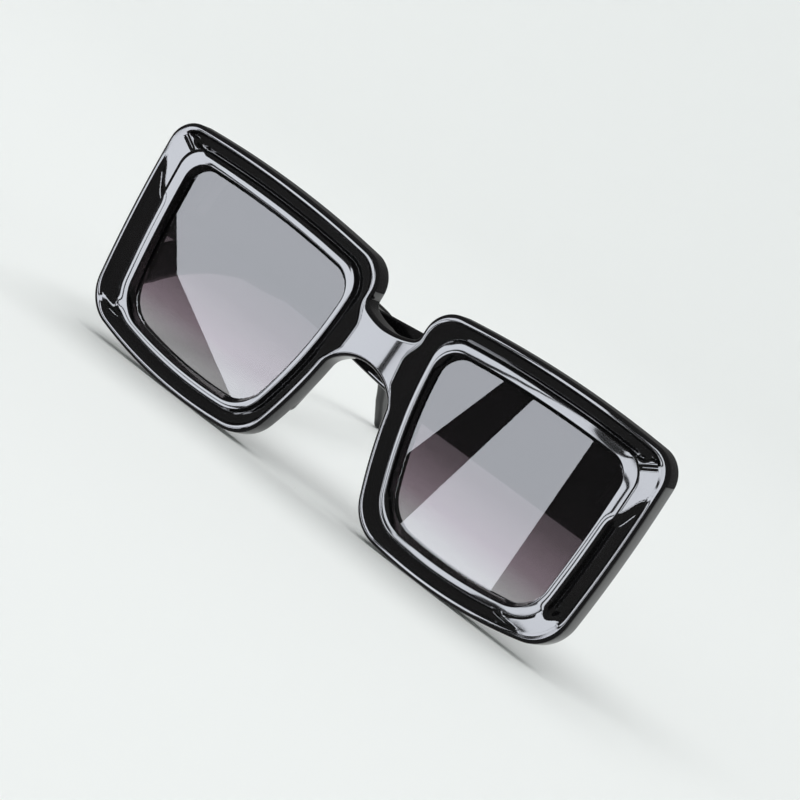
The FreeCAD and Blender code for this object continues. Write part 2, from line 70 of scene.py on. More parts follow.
# One rim: sides run bottom, outer, top, inner, each from its own corner to the one its radius rounds
RIM_CORNERS = ((17.4, -26.4), (71.2, -22.6), (74.0, 24.8), (7.9, 23.0))
RIM_BOWS = (3.2, 0.9, 2.0, 3.2)
RIM_CORNER_RADII = (10.0, 6.5, 7.0, 10.5)
CORNER_TIGHTENING = 0.15
INNER_SIDE = 3

# Rim section, from the outer edge to the lens
RIM_DEPTH = 5.4
EDGE_ROUND = 0.8
BACK_ROUND = 1.2
EDGE_FLAT = 0.05
RIDGE_WIDTH = 1.4
TROUGH_START = 1.9
TROUGH_WALL_DROP = 0.7
TROUGH_WIDTHS = (1.8, 3.8, 2.4, 2.4)
TROUGH_DROPS = (1.6, 1.75, 1.7, 1.55)
INNER_RIDGE_STEP = 0.5
INNER_RIDGE_WIDTHS = (1.4, 2.6, 2.2, 1.4)
INNER_RIDGE_DROP = 0.4
BEVEL_WIDTHS = (0.9, 0.5, 0.9, 0.9)
BEVEL_DROP = 2.2

# Radii of the section's corners, from the outer ridge's inner edge round the groove to the back
SECTION_ROUNDS = (0.35, 1.0, 0.06, 0.2, 0.3, 0.15, 0.05, 0.05, 0.05, 0.05, 0.3)

# The troughs run out at the rims' outer corners, where a land joins the two ridges. Places are
# millimetres along the rim's outline; a slant moves them from the outer ridge to the inner one.
# The right rim's lower land is short, as in the photograph
LAND_WALL_DROP = 0.03
LAND_WAVE = 0.7
LEFT_LOWER_LAND = {
    "rise": (67.2, 72.1), "rise_slant": -1.4, "fall": (81.5, 84.4), "fall_slant": -0.8,
    "trough_drops": (0.24, 0.4, 0.3, 0.3),
}
RIGHT_LOWER_LAND = {
    "rise": (74.6, 77.4), "rise_slant": 0.0, "fall": (78.4, 81.2), "fall_slant": 0.0,
    "trough_drops": (0.24, 0.4, 0.3, 0.3),
}
UPPER_LAND = {
    "rise": (112.2, 116.1), "rise_slant": -5.0, "fall": (123.9, 125.1), "fall_slant": 2.2,
    "trough_drops": (0.3, 0.16, 0.13, 0.3),
}

# A crease across the upper land, and the shares of the trough's width between which it is deepest
CREASE_PLACE = 123.63
CREASE_HALF_WIDTH = 0.66
CREASE_DEPTH = 0.16
CREASE_ENDS = (0.2, 0.9)

# The bridge stands a little proud in the middle, and the troughs reach into it from both sides,
# coming and going over a share of its height
BRIDGE_TROUGH_REACH = 2.2
BRIDGE_REACH_SHARE = 0.35
BRIDGE_CROWN = 0.33
CROWN_HALF_WIDTH = 12.0

# Lens and its groove
LENS_THICKNESS = 1.5
LENS_SETBACK = 2.5
GROOVE_DEPTH = 1.0
LENS_CLEARANCE = 0.04

# Bridge edges: half width and height inside the rims, height in the middle, and blend
BRIDGE_TOP = ((12.0, 17.5), 12.4, 2.0)
BRIDGE_BOTTOM = ((11.0, -4.5), 3.6, 5.0)

# Nose pads; their ends stop a share of a step short of the pole
NOSE_PAD_RADIUS = 2.6
NOSE_PAD_TOP = (13.2, -5.0)
NOSE_PAD_BOTTOM = (15.2, -14.0)
NOSE_PAD_SINK = 0.7
NOSE_PAD_POLE = 0.1

# Hinges and end pieces
HINGE_LEAN = math.radians(7.0)
HINGE_X = 65.75
HINGE_Y = 11.35
HINGE_BOTTOM = 7.0
HINGE_TOP = 17.0
LEAF_PROUD = 0.04
BUTT_Y = 9.9
LEAN_PIVOT = Vector((0.0, BUTT_Y, (HINGE_BOTTOM + HINGE_TOP) / 2))
END_PIECE_INNER = 63.85
END_PIECE_EDGE = 2.4
END_PIECE_BOTTOM = 4.5
END_PIECE_TOP = 22.5
END_PIECE_SINK = 0.3
END_PIECE_ROUND = 0.5
END_PIECE_SHARP = math.radians(30.0)
ROUND_PROFILE = 0.5

# Rivets that hold the hinge leaves; the dome is a flattened ball, cut a share of its radius below
# its equator, between two rings of points
RIVET_RADIUS = 0.55
RIVET_HEAD_RADIUS = 0.8
RIVET_HEAD_HEIGHT = 0.3
RIVET_DOME = 0.14
RIVET_GRIP = 1.8
RIVET_BALL_CUT = -0.1
RIVET_INSET = 2.5
RIVET_LEVELS = (HINGE_BOTTOM + RIVET_INSET, HINGE_TOP - RIVET_INSET)
FRONT_RIVET_X = 65.45
TEMPLE_RIVET_Y = 17.6

# Temples; an edge's round takes at most a share of half the temple's height
TEMPLE_INNER_X = 67.2
TEMPLE_START_Y = 10.0
TEMPLE_ROOT_THICKNESS = 4.3
TEMPLE_TIP_THICKNESS = 2.6
TEMPLE_STRAIGHT = 100.0
TEMPLE_MID_HEIGHT = 6.5
TEMPLE_HALF_HEIGHT = 4.1
TEMPLE_TOP_SLOPE = math.radians(6.0)
TEMPLE_BOTTOM = -1.5
TEMPLE_BOTTOM_FLAT_END = 50.0
TEMPLE_ROOT_CHAMFER = 4.0
TEMPLE_BEND_RADIUS = 44.0
TEMPLE_BEND = math.radians(50.0)
TEMPLE_TIP_LENGTH = 8.0
TEMPLE_TIP_HALF_HEIGHT = 2.8
TEMPLE_TIP_ROUND = math.radians(87.8)
TEMPLE_EDGE_ROUND = 0.9
TEMPLE_ROUND_SHARE = 0.9

# How finely curves are divided; the temple's straight run has closer sections round its chamfer
SIDE_STEPS = 60
CORNER_STEPS = 36
ABOVE_BRIDGE_STEPS = 4
BESIDE_BRIDGE_STEPS = 24
BELOW_BRIDGE_STEPS = 16
RIM_OPEN_STEPS = BELOW_BRIDGE_STEPS + ABOVE_BRIDGE_STEPS + 4 * CORNER_STEPS + 3 * SIDE_STEPS
BLEND_STEPS = 8
BRIDGE_STEPS = 12
ROUND_STEPS = 6
SECTION_STEPS = 4
TROUGH_STEPS = 10
LENS_RINGS = 12
PAD_STEPS = 8
END_PIECE_ROUND_STEPS = 4
RIVET_STEPS = 20
TEMPLE_STATIONS = (0.0, 1.0, 2.0, 3.0, 3.9, 4.1, 6.0, *range(10, 100, 3))
BEND_STEPS = 28
TIP_STEPS = 4
TIP_ROUND_STEPS = 8
WELD = 0.0005
SHARP_ANGLE = math.radians(40.0)

# The solids stand turned about the nose arch, as far as their hinges' axis tells, and the left temple
# is stored folded through its hinge's whole range. A slight ease keeps the front inside their box
LEFT_HINGE = next(joint for joint in frame["joints"] if joint["name"] == "left_temple_hinge")
LEFT_FOLD = math.radians(LEFT_HINGE["range_deg"][1])
LAYOUT_TURN = HINGE_LEAN + math.atan2(LEFT_HINGE["axis"][1], -LEFT_HINGE["axis"][2])
NOSE_ARCH = Vector((0.0, RIM_DEPTH / 2, BRIDGE_BOTTOM[1]))
BOX_EASE = Vector((0.0, 0.0005, 0.0))
TO_PACKED = (
    Matrix.Scale(MM, 4) @ Matrix.Translation(BOX_EASE)
    @ Matrix.Rotation(LAYOUT_TURN, 4, "X") @ Matrix.Translation(-NOSE_ARCH)
)

# Each side's name, its way across from the middle and its temple's stored fold
SIDES = (("left", 1, LEFT_FOLD), ("right", -1, 0.0))


def even(value):
    """The same value for all four sides of a rim."""
    return (value,) * 4


def clamp(value):
    """A value kept between 0 and 1."""
    return min(max(value, 0.0), 1.0)


def smooth_step(share):
    """A share from 0 to 1, eased so that it starts and ends level."""
    return share * share * (3 - 2 * share)


def ramp(value, low, high):
    """A smooth rise from 0 at low to 1 at high."""
    return smooth_step(clamp((value - low) / (high - low)))


def side_circle(start, end, bow):
    """Centre and radius of the arc that bows to the right of the line from start to end."""
    along_x = end[0] - start[0]
    along_z = end[1] - start[1]
    chord = math.hypot(along_x, along_z)
    radius = (chord * chord / 4 + bow * bow) / (2 * bow)
    reach = (radius - bow) / chord
    return ((start[0] + end[0]) / 2 - along_z * reach, (start[1] + end[1]) / 2 + along_x * reach), radius


def circle_crossing(centre_a, radius_a, centre_b, radius_b, near):
    """The crossing of two circles that lies nearest to a point."""
    along_x = centre_b[0] - centre_a[0]
    along_z = centre_b[1] - centre_a[1]
    apart = math.hypot(along_x, along_z)
    reach = (apart * apart + radius_a * radius_a - radius_b * radius_b) / (2 * apart)
    rise = math.sqrt(radius_a * radius_a - reach * reach)
    found = []
    for way in (1, -1):
        x = centre_a[0] + (along_x * reach - way * along_z * rise) / apart
        z = centre_a[1] + (along_z * reach + way * along_x * rise) / apart
        found.append((x, z))
    return min(found, key=lambda p: math.hypot(p[0] - near[0], p[1] - near[1]))


def on_circle(centre, radius, towards):
    """The point of a circle in the direction of another point."""
    along_x = towards[0] - centre[0]
    along_z = towards[1] - centre[1]
    scale = radius / math.hypot(along_x, along_z)
    return (centre[0] + along_x * scale, centre[1] + along_z * scale)


def turn_between(centre, start, end):
    """The direction of one point from a centre, and the turn from it to another, the short way."""
    first = math.atan2(start[1] - centre[1], start[0] - centre[0])
    turn = math.atan2(end[1] - centre[1], end[0] - centre[0]) - first
    return first, (turn + math.pi) % (2 * math.pi) - math.pi


def part_way(centre, radius, start, end, share):
    """The point a share of the way along an arc."""
    first, turn = turn_between(centre, start, end)
    angle = first + turn * share
    return (centre[0] + radius * math.cos(angle), centre[1] + radius * math.sin(angle))


def arc(centre, radius, start, end, steps, solid_inside=True):
    """Points with outward normals from start towards end, the end left out."""
    first, turn = turn_between(centre, start, end)
    way = 1 if solid_inside else -1
    found = []
    for step in range(steps):
        angle = first + turn * step / steps
        x, z = math.cos(angle), math.sin(angle)
        found.append(((centre[0] + radius * x, centre[1] + radius * z), (way * x, way * z)))
    return found


RIM_SIDES = [side_circle(RIM_CORNERS[i], RIM_CORNERS[(i + 1) % 4], RIM_BOWS[i]) for i in range(4)]


def bridge_circle(end, middle):
    """The circle of one of the bridge's edges."""
    rise = end[1] - middle
    radius = (end[0] ** 2 + rise ** 2) / (2 * abs(rise))
    return (0.0, middle + math.copysign(radius, rise)), radius


def bridge_join(end, middle, blend):
    """Where a bridge edge's blend leaves the rim and meets the bridge, with the blend's centre."""
    centre, radius = bridge_circle(end, middle)
    side, side_radius = RIM_SIDES[INNER_SIDE]
    blend_centre = circle_crossing(side, side_radius + blend, centre, radius - blend, end)
    return on_circle(side, side_radius, blend_centre), on_circle(centre, radius, blend_centre), blend_centre


def rim_corners(insets):
    """The sides' radii, and each corner's centre, radius and ends, with each side moved in by its inset."""
    radii = [RIM_SIDES[i][1] - insets[i] for i in range(4)]
    corners = []
    for i in range(4):
        j = (i + 1) % 4
        round_off = RIM_CORNER_RADII[i] - CORNER_TIGHTENING * (insets[i] + insets[j]) / 2
        middle = circle_crossing(
            RIM_SIDES[i][0], radii[i] - round_off, RIM_SIDES[j][0], radii[j] - round_off, RIM_CORNERS[j]
        )
        first = on_circle(RIM_SIDES[i][0], radii[i], middle)
        last = on_circle(RIM_SIDES[j][0], radii[j], middle)
        corners.append((middle, round_off, first, last))
    return radii, corners


def join_share(join):
    """How far down the inner side of the outline a bridge edge's blend leaves it."""
    corners = rim_corners(even(0.0))[1]
    side = RIM_SIDES[INNER_SIDE][0]
    start = corners[INNER_SIDE - 1][3]
    whole = turn_between(side, start, corners[INNER_SIDE][2])[1]
    return turn_between(side, start, join[0])[1] / whole


TOP_JOIN = bridge_join(*BRIDGE_TOP)
BOTTOM_JOIN = bridge_join(*BRIDGE_BOTTOM)
TOP_SHARE = join_share(TOP_JOIN)
BOTTOM_SHARE = join_share(BOTTOM_JOIN)


def rim_ring(insets, depths):
    """The left rim's outline, from the bottom of the bridge round to it, as points with normals."""
    radii, corners = rim_corners(insets)
    side = RIM_SIDES[INNER_SIDE][0]
    radius = radii[INNER_SIDE]
    depth_in = depths[INNER_SIDE]
    start = corners[INNER_SIDE - 1][3]
    end = corners[INNER_SIDE][2]
    top = part_way(side, radius, start, end, TOP_SHARE)
    bottom = part_way(side, radius, start, end, BOTTOM_SHARE)
    stretches = [
        (arc(side, radius, bottom, end, BELOW_BRIDGE_STEPS), depth_in, depth_in),
        (arc(*corners[INNER_SIDE], CORNER_STEPS), depth_in, depths[0]),
    ]
    for i in range(INNER_SIDE):
        along = arc(RIM_SIDES[i][0], radii[i], corners[i - 1][3], corners[i][2], SIDE_STEPS)
        stretches.append((along, depths[i], depths[i]))
        stretches.append((arc(*corners[i], CORNER_STEPS), depths[i], depths[i + 1]))
    stretches.append((arc(side, radius, start, top, ABOVE_BRIDGE_STEPS), depth_in, depth_in))
    stretches.append((arc(side, radius, top, bottom, BESIDE_BRIDGE_STEPS), depth_in, depth_in))
    ring = []
    for points, from_depth, to_depth in stretches:
        for index, (at, normal) in enumerate(points):
            depth = from_depth + (to_depth - from_depth) * smooth_step(index / len(points))
            ring.append((Vector((at[0], depth, at[1])), normal))
    return ring


def bridge_edge(join, edge):
    """Half of a bridge edge from the left rim to the middle, as points with normals."""
    on_rim, on_bridge, blend_centre = join
    end, middle_height, blend = edge
    centre, radius = bridge_circle(end, middle_height)
    middle = (0.0, middle_height)
    half = arc(blend_centre, blend, on_rim, on_bridge, BLEND_STEPS, False)
    half += arc(centre, radius, on_bridge, middle, BRIDGE_STEPS, False)
    half.append((middle, (0.0, math.copysign(1, centre[1] - middle_height))))
    return half


def flat_offset(points, inset, depth):
    """An outline's points moved in by an inset, at one depth."""
    return [Vector((p[0] - n[0] * inset, depth, p[1] - n[1] * inset)) for p, n in points]


def to_side(points, way):
    """Points of the left side, mirrored to the right where way is -1."""
    return [Vector((way * p.x, p.y, p.z)) for p in points]


def skin(work, rows, closed):
    """Quads between rows of points, each row joined end to end where closed; gives the vertices."""
    made = [[work.verts.new(p) for p in row] for row in rows]
    for row, following in zip(made, made[1:]):
        for i in range(len(row) if closed else len(row) - 1):
            j = (i + 1) % len(row)
            work.faces.new((row[i], following[i], following[j], row[j]))
    return made


def capped_skin(rows):
    """A closed mesh through rings of points, with a flat cap on the first and the last."""
    work = bmesh.new()
    made = skin(work, rows, True)
    work.faces.new(made[0])
    work.faces.new(made[-1])
    bmesh.ops.recalc_face_normals(work, faces=work.faces)
    return work


def rounded_path(corners, radii, steps):
    """A section's points with its corners rounded; first and last corner stay sharp."""
    path = [Vector(corners[0])]
    for index in range(1, len(corners) - 1):
        here = Vector(corners[index])
        back = (Vector(corners[index - 1]) - here).normalized()
        ahead = (Vector(corners[index + 1]) - here).normalized()
        radius = radii[index - 1]
        half = back.angle(ahead) / 2
        reach = radius / math.tan(half)
        start, end = here + back * reach, here + ahead * reach
        centre = here + (back + ahead).normalized() * radius / math.sin(half)
        for step in range(steps + 1):
            spoke = (start - centre).lerp(end - centre, step / steps).normalized()
            path.append(centre + spoke * radius)
    path.append(Vector(corners[-1]))
    return path


def lens_opening(side):
    """How far inside its outer edge a side of the rim ends."""
    ridge_outer = TROUGH_START + TROUGH_WIDTHS[side] + INNER_RIDGE_STEP
    return ridge_outer + INNER_RIDGE_WIDTHS[side] + BEVEL_WIDTHS[side]


def rim_section(side, wall_drop, trough_drop):
    """The section of one side of the rim, from the flat of its ridge to the flat of its back."""
    trough_end = TROUGH_START + TROUGH_WIDTHS[side]
    ridge_outer = trough_end + INNER_RIDGE_STEP
    opening = lens_opening(side)
    groove_back = LENS_SETBACK + LENS_THICKNESS
    corners = [
        (EDGE_ROUND + EDGE_FLAT, 0.0),
        (RIDGE_WIDTH, 0.0),
        (TROUGH_START, wall_drop),
        (trough_end, trough_drop),
        (ridge_outer, INNER_RIDGE_DROP),
        (ridge_outer + INNER_RIDGE_WIDTHS[side], INNER_RIDGE_DROP),
        (opening, BEVEL_DROP),
        (opening, LENS_SETBACK),
        (opening - GROOVE_DEPTH, LENS_SETBACK),
        (opening - GROOVE_DEPTH, groove_back),
        (opening, groove_back),
        (opening, RIM_DEPTH),
        (RIDGE_WIDTH, RIM_DEPTH),
    ]
    path = rounded_path(corners, SECTION_ROUNDS, SECTION_STEPS)
    # The trough's floor starts after two rounded corners, and is divided for the lands' sake
    foot = 2 * (SECTION_STEPS + 1)
    floor = [path[foot].lerp(path[foot + 1], step / TROUGH_STEPS) for step in range(1, TROUGH_STEPS)]
    return path[:foot + 1] + floor + path[foot + 1:]


def carved_rings(wall_drop, trough_drops):
    """The left rim's section swept round it, with given drops of the trough's wall and its end."""
    sections = [rim_section(side, wall_drop, trough_drops[side]) for side in range(4)]
    rings = []
    for points in zip(*sections):
        rings.append([p for p, _ in rim_ring([p[0] for p in points], [p[1] for p in points])])
    return rings


def land_share(land, along, across):
    """How much of a land there is at a place along the rim, a share of the way across its trough."""
    wave = LAND_WAVE * math.sin(2 * math.pi * across)
    risen = ramp(along - land["rise_slant"] * across - wave, *land["rise"])
    fallen = ramp(along - land["fall_slant"] * across - wave, *land["fall"])
    return risen * (1 - fallen)


def outline_places():
    """How far along the rim's outline each step of a ring lies."""
    outline = [p for p, _ in rim_ring(even(0.0), even(0.0))]
    places = [0.0]
    for here, following in zip(outline, outline[1:]):
        places.append(places[-1] + (following - here).length)
    return places


def crease_drop(along, across):
    """How deep the crease is at a place along the rim, a share of the way across its trough."""
    full, fading = CREASE_ENDS
    share = ramp(across, 0.0, full) * (1 - ramp(across, fading, 1.0))
    return CREASE_DEPTH * share * max(1 - abs(along - CREASE_PLACE) / CREASE_HALF_WIDTH, 0.0)


def landed_rings(lands):
    """A rim's rings with its lands and crease, and with the trough reaching into the bridge."""
    rings = carved_rings(TROUGH_WALL_DROP, TROUGH_DROPS)
    section = rim_section(0, TROUGH_WALL_DROP, TROUGH_DROPS[0])
    shares_across = [clamp((p.x - TROUGH_START) / TROUGH_WIDTHS[0]) for p in section]
    places = outline_places()
    for land in lands:
        raised = carved_rings(LAND_WALL_DROP, land["trough_drops"])
        for ring, flat, across in zip(rings, raised, shares_across):
            for step, along in enumerate(places):
                ring[step] = ring[step].lerp(flat[step], land_share(land, along, across))
    for ring, across in zip(rings, shares_across):
        for step in range(BESIDE_BRIDGE_STEPS):
            down = step / BESIDE_BRIDGE_STEPS
            share = ramp(down, 0.0, BRIDGE_REACH_SHARE) * (1 - ramp(down, 1 - BRIDGE_REACH_SHARE, 1.0))
            ring[RIM_OPEN_STEPS + step].x -= BRIDGE_TROUGH_REACH * share * (1 - smooth_step(across))
        for step, along in enumerate(places):
            ring[step].y += crease_drop(along, across)
    return rings


def edge_section():
    """The front's rounded outer edge, from its face to its back, as pairs of inset and depth."""
    turns = [math.pi / 2 * step / ROUND_STEPS for step in range(ROUND_STEPS + 1)]
    face = [(EDGE_ROUND * (1 - math.sin(t)), EDGE_ROUND * (1 - math.cos(t))) for t in turns]
    back = [(BACK_ROUND * (1 - math.cos(t)), RIM_DEPTH - BACK_ROUND * (1 - math.sin(t))) for t in turns]
    return face + back + [(BACK_ROUND + EDGE_FLAT, RIM_DEPTH)]


def bridge_patch(ring, top_half, bottom_half, inset, depth):
    """A flat patch that spans the bridge between the rims' ridges."""
    left = ring[RIM_OPEN_STEPS:] + ring[:1]
    right = to_side(left, -1)

    def whole(half, corner):
        row = [corner] + flat_offset(half, inset, depth)
        return row + to_side(row, -1)[-2::-1]

    top, bottom = whole(top_half, left[0]), whole(bottom_half, left[-1])
    rows = []
    for v, (start, end) in enumerate(zip(left, right)):
        down = v / (len(left) - 1)
        row = []
        for u, (high, low) in enumerate(zip(top, bottom)):
            across = u / (len(top) - 1)
            corner_mix = top[0].lerp(top[-1], across).lerp(bottom[0].lerp(bottom[-1], across), down)
            row.append(start.lerp(end, across) + high.lerp(low, down) - corner_mix)
        rows.append(row)
    rows[0], rows[-1] = top, bottom
    return rows


def front_mesh():
    """The moulded front: two carved rims and the bridge in one closed skin."""
    left_rings = landed_rings((LEFT_LOWER_LAND, UPPER_LAND))
    right_rings = landed_rings((RIGHT_LOWER_LAND, UPPER_LAND))
    top_half = bridge_edge(TOP_JOIN, BRIDGE_TOP)
    bottom_half = bridge_edge(BOTTOM_JOIN, BRIDGE_BOTTOM)
    outer_ring = rim_ring(even(0.0), even(0.0))
    outline = [((p.x, p.z), normal) for p, normal in outer_ring[:RIM_OPEN_STEPS]] + [top_half[0]]
    section = edge_section()
    work = bmesh.new()

    def both_sides(rows):
        for way in (1, -1):
            skin(work, [to_side(row, way) for row in rows], False)

    skin(work, left_rings, True)
    skin(work, [to_side(ring, -1) for ring in right_rings], True)
    for edge in (outline, top_half, bottom_half):
        both_sides([flat_offset(edge, inset, depth) for inset, depth in section])
    for ring, (inset, depth) in ((left_rings[0], section[0]), (left_rings[-1], section[-1])):
        both_sides([flat_offset(outline, inset, depth), ring[:RIM_OPEN_STEPS + 1]])
        skin(work, bridge_patch(ring, top_half, bottom_half, inset, depth), False)
    bmesh.ops.remove_doubles(work, verts=work.verts, dist=WELD)
    for vert in work.verts:
        share = clamp(abs(vert.co.x) / CROWN_HALF_WIDTH)
        vert.co.y -= BRIDGE_CROWN * (1 - share * share) ** 2 * (1 - vert.co.y / RIM_DEPTH)
    bmesh.ops.recalc_face_normals(work, faces=work.faces)
    return work


def lens_mesh(way):
    """A flat lens plate that fills its groove."""
    insets = [lens_opening(side) + LENS_CLEARANCE - GROOVE_DEPTH for side in range(4)]
    outline = [p for p, _ in rim_ring(insets, even(0.0))]
    middle = sum(outline, Vector()) / len(outline)
    front = LENS_SETBACK + LENS_CLEARANCE
    back = LENS_SETBACK + LENS_THICKNESS - LENS_CLEARANCE
    shares = [ring / LENS_RINGS for ring in range(1, LENS_RINGS + 1)]
    rows = []
    for depth, ring_shares in ((front, shares), (back, shares[::-1])):
        for share in ring_shares:
            row = [middle.lerp(p, share) + Vector((0, depth, 0)) for p in outline]
            rows.append(to_side(row, way))
    return capped_skin(rows)


def nose_pad_mesh(way):
    """A rounded pad along the back of the rim's inner edge."""
    top = Vector((NOSE_PAD_TOP[0], RIM_DEPTH - NOSE_PAD_SINK, NOSE_PAD_TOP[1]))
    bottom = Vector((NOSE_PAD_BOTTOM[0], RIM_DEPTH - NOSE_PAD_SINK, NOSE_PAD_BOTTOM[1]))
    along = (bottom - top).normalized()
    aside = along.cross(Vector((0, 1, 0))).normalized()
    behind = aside.cross(along)
    dome = []
    for step in range(PAD_STEPS):
        turn = math.pi / 2 * (step + NOSE_PAD_POLE) / PAD_STEPS
        dome.append((along * NOSE_PAD_RADIUS * math.cos(turn), NOSE_PAD_RADIUS * math.sin(turn)))
    stations = [(top - reach, radius) for reach, radius in dome]
    stations += [(top.lerp(bottom, step / PAD_STEPS), NOSE_PAD_RADIUS) for step in range(PAD_STEPS + 1)]
    stations += [(bottom + reach, radius) for reach, radius in reversed(dome)]
    turns = [math.pi / 2 * step / PAD_STEPS for step in range(4 * PAD_STEPS)]
    rows = []
    for at, radius in stations:
        row = [at + (aside * math.cos(turn) + behind * math.sin(turn)) * radius for turn in turns]
        rows.append(to_side(row, way))
    return capped_skin(rows)


def end_piece_mesh(way):
    """The pad behind the rim's outer corner that carries the hinge and stops the opened temple."""
    rim = [p for p, _ in rim_ring(even(END_PIECE_EDGE), even(0.0))]
    outer = [p for p in rim if p.x > END_PIECE_INNER and END_PIECE_BOTTOM < p.z < END_PIECE_TOP]
    shape = [
        (END_PIECE_INNER, END_PIECE_BOTTOM),
        (outer[0].x, END_PIECE_BOTTOM),
        *((p.x, p.z) for p in outer),
        (outer[-1].x, END_PIECE_TOP),
        (END_PIECE_INNER, END_PIECE_TOP),
    ]
    slope = math.tan(HINGE_LEAN)
    front = [Vector((x, RIM_DEPTH - END_PIECE_SINK, z)) for x, z in shape]
    back = [Vector((x, BUTT_Y + (z - LEAN_PIVOT.z) * slope - LEAF_PROUD, z)) for x, z in shape]
    work = capped_skin([to_side(front, way), to_side(back, way)])
    sharp = []
    for edge in work.edges:
        if edge.calc_face_angle(0) > END_PIECE_SHARP and max(v.co.y for v in edge.verts) > RIM_DEPTH:
            sharp.append(edge)
    bmesh.ops.bevel(
        work, geom=sharp, offset=END_PIECE_ROUND, segments=END_PIECE_ROUND_STEPS,
        profile=ROUND_PROFILE, affect="EDGES",
    )
    bmesh.ops.dissolve_degenerate(work, edges=work.edges, dist=WELD)
    return work


def temple_stations():
    """Top and bottom points of the temple along its length, as pairs of (along, height)."""
    centre_z = TEMPLE_MID_HEIGHT - TEMPLE_BEND_RADIUS
    outer = TEMPLE_BEND_RADIUS + TEMPLE_HALF_HEIGHT
    inner = TEMPLE_BEND_RADIUS - TEMPLE_HALF_HEIGHT

    def on_bend(radius, turn):
        return Vector((TEMPLE_STRAIGHT + radius * math.sin(turn), centre_z + radius * math.cos(turn)))

    top_start = on_bend(outer, TEMPLE_TOP_SLOPE)
    bend_bottom = on_bend(inner, 0)

    def top_at(along):
        return Vector((along, top_start.y + (top_start.x - along) * math.tan(TEMPLE_TOP_SLOPE)))

    def bottom_at(along):
        if along < TEMPLE_ROOT_CHAMFER:
            return Vector((along, TEMPLE_BOTTOM + TEMPLE_ROOT_CHAMFER - along))
        share = ramp(along, TEMPLE_BOTTOM_FLAT_END, bend_bottom.x)
        return Vector((along, TEMPLE_BOTTOM + (bend_bottom.y - TEMPLE_BOTTOM) * share))

    stations = [(top_at(along), bottom_at(along)) for along in TEMPLE_STATIONS]
    for step in range(BEND_STEPS + 1):
        turn = TEMPLE_BEND * step / BEND_STEPS
        high = on_bend(outer, turn)
        if turn < TEMPLE_TOP_SLOPE:
            high = top_at(high.x)
        stations.append((high, on_bend(inner, turn)))
    bend_end = on_bend(TEMPLE_BEND_RADIUS, TEMPLE_BEND)
    ahead = Vector((math.cos(TEMPLE_BEND), -math.sin(TEMPLE_BEND)))
    aside = Vector((math.sin(TEMPLE_BEND), math.cos(TEMPLE_BEND)))
    tip = []
    for step in range(1, TIP_STEPS + 1):
        share = step / TIP_STEPS
        half = TEMPLE_HALF_HEIGHT + (TEMPLE_TIP_HALF_HEIGHT - TEMPLE_HALF_HEIGHT) * share
        tip.append((TEMPLE_TIP_LENGTH * share, half))
    for step in range(1, TIP_ROUND_STEPS + 1):
        turn = TEMPLE_TIP_ROUND * step / TIP_ROUND_STEPS
        reach = TEMPLE_TIP_LENGTH + TEMPLE_TIP_HALF_HEIGHT * math.sin(turn)
        tip.append((reach, TEMPLE_TIP_HALF_HEIGHT * math.cos(turn)))
    for reach, half in tip:
        at = bend_end + ahead * reach
        stations.append((at + aside * half, at - aside * half))
    return stations


def side_turn(way):
    """Leans a hinge as the end piece's back leans, and mirrors it for the right side."""
    pivot = Matrix.Translation(LEAN_PIVOT)
    return Matrix.Diagonal((way, 1, 1, 1)) @ pivot @ Matrix.Rotation(-HINGE_LEAN, 4, "X") @ pivot.inverted()


def fold_turn(fold):
    """Turns an open temple about its hinge pin."""
    pin = Matrix.Translation((HINGE_X, HINGE_Y, 0))
    return pin @ Matrix.Rotation(fold, 4, "Z") @ pin.inverted()


def temple_mesh(way, fold):
    """A temple with rounded edges, thinned towards its tip and turned about its hinge."""
    stations = temple_stations()
    far = max(top.x for top, _ in stations)
    turned = side_turn(way) @ fold_turn(fold)
    rows = []
    for top, bottom in stations:
        half = (top - bottom).length / 2
        middle = (top + bottom) / 2
        up = (top - bottom).normalized()
        thinning = (TEMPLE_ROOT_THICKNESS - TEMPLE_TIP_THICKNESS) * middle.x / far
        thick_half = (TEMPLE_ROOT_THICKNESS - thinning) / 2
        radius = min(TEMPLE_EDGE_ROUND, half * TEMPLE_ROUND_SHARE)
        row = []
        for quarter, (side_x, side_z) in enumerate(((1, 1), (-1, 1), (-1, -1), (1, -1))):
            for step in range(ROUND_STEPS + 1):
                turn = math.pi / 2 * (quarter + step / ROUND_STEPS)
                x = side_x * (thick_half - radius) + radius * math.cos(turn)
                # The inner face is taken back a little, so that the hinge leaf stands proud of it
                x = max(x, LEAF_PROUD - thick_half)
                at = middle + up * (side_z * (half - radius) + radius * math.sin(turn))
                place = Vector((TEMPLE_INNER_X + thick_half + x, TEMPLE_START_Y + at.x, at.y))
                row.append(turned @ place)
        rows.append(row)
    return capped_skin(rows)


def finished(work, name, material, body, replaced=()):
    """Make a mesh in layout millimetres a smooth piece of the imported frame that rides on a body."""
    mesh = bpy.data.meshes.new(name)
    work.to_mesh(mesh)
    work.free()
    mesh.transform(TO_PACKED)
    mesh.shade_smooth()
    mesh.set_sharp_from_angle(angle=SHARP_ANGLE)
    mesh.materials.append(material)
    piece = bpy.data.objects.new(name, mesh)
    bpy.context.scene.collection.objects.link(piece)
    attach(piece, body)
    if replaced:
        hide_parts(*replaced)


